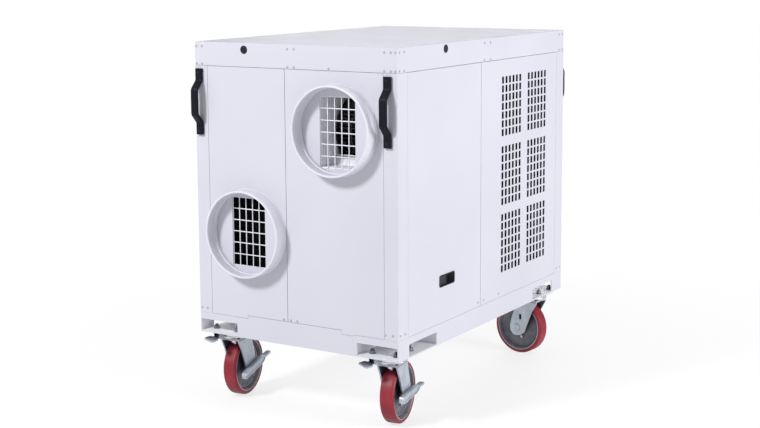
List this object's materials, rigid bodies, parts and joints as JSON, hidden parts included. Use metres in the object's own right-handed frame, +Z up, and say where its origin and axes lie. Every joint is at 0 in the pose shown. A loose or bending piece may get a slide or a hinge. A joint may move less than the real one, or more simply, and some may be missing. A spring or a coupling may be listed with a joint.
{
  "type": "portable air conditioner",
  "caption": "Large wheeled cabinet air conditioner with round duct collars, wire guards, slotted side grille, lift-off access panel, carrying handles and braked swivel casters.",
  "frame": {"origin": "on the floor, at the middle of the bounding box", "axes": "+Z up; -Y out of the duct collar face; +X toward the side with the slotted grille and access panel"},
  "size_m": [0.782, 1.286, 1.221],
  "materials": {
    "white_powder_coat": "satin powder coat",
    "white_collar": "satin powder coat",
    "black_plastic": "moulded, fine grain",
    "black_handle": "satin black",
    "light_wire": "white coated wire",
    "dark_wire": "dark coated wire",
    "coil_fin": "finned, dusty",
    "compressor_shell": "gloss black",
    "motor_shell": "satin grey",
    "fan_blade": "rolled",
    "galvanised_sheet": "zinc coated sheet",
    "control_plate_grey": "satin",
    "zinc_plate": "zinc plated",
    "axle_steel": "plated bolt",
    "hub_iron": "painted cast iron",
    "red_tread": "moulded polyurethane, smooth"
  },
  "bodies": {
    "cabinet": {"base_frame": "white_powder_coat", "top_rail": "white_powder_coat", "top_cover": "white_powder_coat", "corner_post_fl": "white_powder_coat", "corner_post_fr": "white_powder_coat", "corner_post_rl": "white_powder_coat", "corner_post_rr": "white_powder_coat", "front_panel_left": "white_powder_coat", "front_panel_right": "white_powder_coat", "supply_collar": "white_collar", "return_collar": "white_collar", "supply_guard": "light_wire", "return_guard": "light_wire", "grille_panel": "white_powder_coat", "left_panel": "white_powder_coat", "rear_panel": "white_powder_coat", "handle_front_left": "black_handle", "handle_front_right": "black_handle", "handle_rear_left": "black_handle", "handle_rear_right": "black_handle", "front_plug": "black_plastic", "side_plug": "black_plastic", "fan_guard": "dark_wire", "fan_motor": "motor_shell", "condenser_coil": "coil_fin", "evaporator_coil": "coil_fin", "compressor": "compressor_shell", "bulkhead": "galvanised_sheet", "blower_housing": "galvanised_sheet", "control_plate": "control_plate_grey", "caster_fl_plate": "zinc_plate", "caster_fr_plate": "zinc_plate", "caster_rl_plate": "zinc_plate", "caster_rr_plate": "zinc_plate"},
    "access_door": {"access_panel": "white_powder_coat", "latch_dish": "black_plastic"},
    "latch_paddle": {"latch_paddle": "black_plastic"},
    "supply_blower_wheel": {"blower_wheel": "galvanised_sheet"},
    "condenser_fan": {"condenser_fan": "fan_blade"},
    "thermostat_knob": {"thermostat_knob": "black_plastic"},
    "caster_fl_yoke": {"caster_fl_fork": "zinc_plate", "caster_fl_axle": "axle_steel"},
    "caster_fl_wheel": {"caster_fl_hub": "hub_iron", "caster_fl_tread": "red_tread"},
    "caster_fl_brake_lever": {"caster_fl_brake_lever": "zinc_plate"},
    "caster_fl_swivel_lock": {"caster_fl_swivel_lock": "zinc_plate"},
    "caster_fr_yoke": {"caster_fr_fork": "zinc_plate", "caster_fr_axle": "axle_steel"},
    "caster_fr_wheel": {"caster_fr_hub": "hub_iron", "caster_fr_tread": "red_tread"},
    "caster_fr_brake_lever": {"caster_fr_brake_lever": "zinc_plate"},
    "caster_fr_swivel_lock": {"caster_fr_swivel_lock": "zinc_plate"},
    "caster_rl_yoke": {"caster_rl_fork": "zinc_plate", "caster_rl_axle": "axle_steel"},
    "caster_rl_wheel": {"caster_rl_hub": "hub_iron", "caster_rl_tread": "red_tread"},
    "caster_rr_yoke": {"caster_rr_fork": "zinc_plate", "caster_rr_axle": "axle_steel"},
    "caster_rr_wheel": {"caster_rr_hub": "hub_iron", "caster_rr_tread": "red_tread"}
  },
  "joints": [
    {"name": "access_door_lift_off", "type": "slide", "parent": "cabinet", "child": "access_door", "axis": [1, 0, 0], "range_m": [0, 0.09]},
    {"name": "latch_paddle_pull", "type": "hinge", "parent": "access_door", "child": "latch_paddle", "pos_m": [0.384, -0.326, 0.449], "axis": [0, 0, -1], "range_deg": [0, 35], "stiffness_Nm_per_rad": 0.06},
    {"name": "supply_blower_spin", "type": "hinge", "parent": "cabinet", "child": "supply_blower_wheel", "pos_m": [0.17, -0.411, 0.941], "axis": [1, 0, 0], "continuous": true},
    {"name": "condenser_fan_spin", "type": "hinge", "parent": "cabinet", "child": "condenser_fan", "pos_m": [-0.001, 0.548, 0.741], "axis": [0, 1, 0], "continuous": true},
    {"name": "thermostat_turn", "type": "hinge", "parent": "cabinet", "child": "thermostat_knob", "pos_m": [-0.001, 0.617, 1.066], "axis": [0, -1, 0], "range_deg": [0, 270]},
    {"name": "caster_fl_swivel", "type": "hinge", "parent": "cabinet", "child": "caster_fl_yoke", "pos_m": [-0.313, -0.506, 0.214], "axis": [0, 0, 1], "continuous": true},
    {"name": "caster_fl_roll", "type": "hinge", "parent": "caster_fl_yoke", "child": "caster_fl_wheel", "pos_m": [-0.31988, -0.45446, 0.1015], "axis": [0.9912, 0.1323, 0], "continuous": true},
    {"name": "caster_fl_brake_press", "type": "hinge", "parent": "caster_fl_yoke", "child": "caster_fl_brake_lever", "pos_m": [-0.31988, -0.45446, 0.1015], "axis": [0.9912, 0.1323, 0], "range_deg": [-11, 5]},
    {"name": "caster_fl_lock_lift", "type": "hinge", "parent": "cabinet", "child": "caster_fl_swivel_lock", "pos_m": [-0.33963, -0.5631, 0.2215], "axis": [-0.9063, 0.4226, 0], "range_deg": [0, 10]},
    {"name": "caster_fr_swivel", "type": "hinge", "parent": "cabinet", "child": "caster_fr_yoke", "pos_m": [0.311, -0.506, 0.214], "axis": [0, 0, 1], "continuous": true},
    {"name": "caster_fr_roll", "type": "hinge", "parent": "caster_fr_yoke", "child": "caster_fr_wheel", "pos_m": [0.30269, -0.45467, 0.1015], "axis": [0.9871, 0.1599, 0], "continuous": true},
    {"name": "caster_fr_brake_press", "type": "hinge", "parent": "caster_fr_yoke", "child": "caster_fr_brake_lever", "pos_m": [0.30269, -0.45467, 0.1015], "axis": [0.9871, 0.1599, 0], "range_deg": [0, 16]},
    {"name": "caster_fr_lock_lift", "type": "hinge", "parent": "cabinet", "child": "caster_fr_swivel_lock", "pos_m": [0.27762, -0.55943, 0.2215], "axis": [-0.848, 0.5299, 0], "range_deg": [0, 10]},
    {"name": "caster_rl_swivel", "type": "hinge", "parent": "cabinet", "child": "caster_rl_yoke", "pos_m": [-0.325, 0.505, 0.214], "axis": [0, 0, 1], "continuous": true},
    {"name": "caster_rl_roll", "type": "hinge", "parent": "caster_rl_yoke", "child": "caster_rl_wheel", "pos_m": [-0.27477, 0.51846, 0.1015], "axis": [0.2588, -0.9659, 0], "continuous": true},
    {"name": "caster_rr_swivel", "type": "hinge", "parent": "cabinet", "child": "caster_rr_yoke", "pos_m": [0.323, 0.505, 0.214], "axis": [0, 0, 1], "continuous": true},
    {"name": "caster_rr_roll", "type": "hinge", "parent": "caster_rr_yoke", "child": "caster_rr_wheel", "pos_m": [0.27139, 0.51134, 0.1015], "axis": [0.1219, 0.9925, 0], "continuous": true}
  ]
}
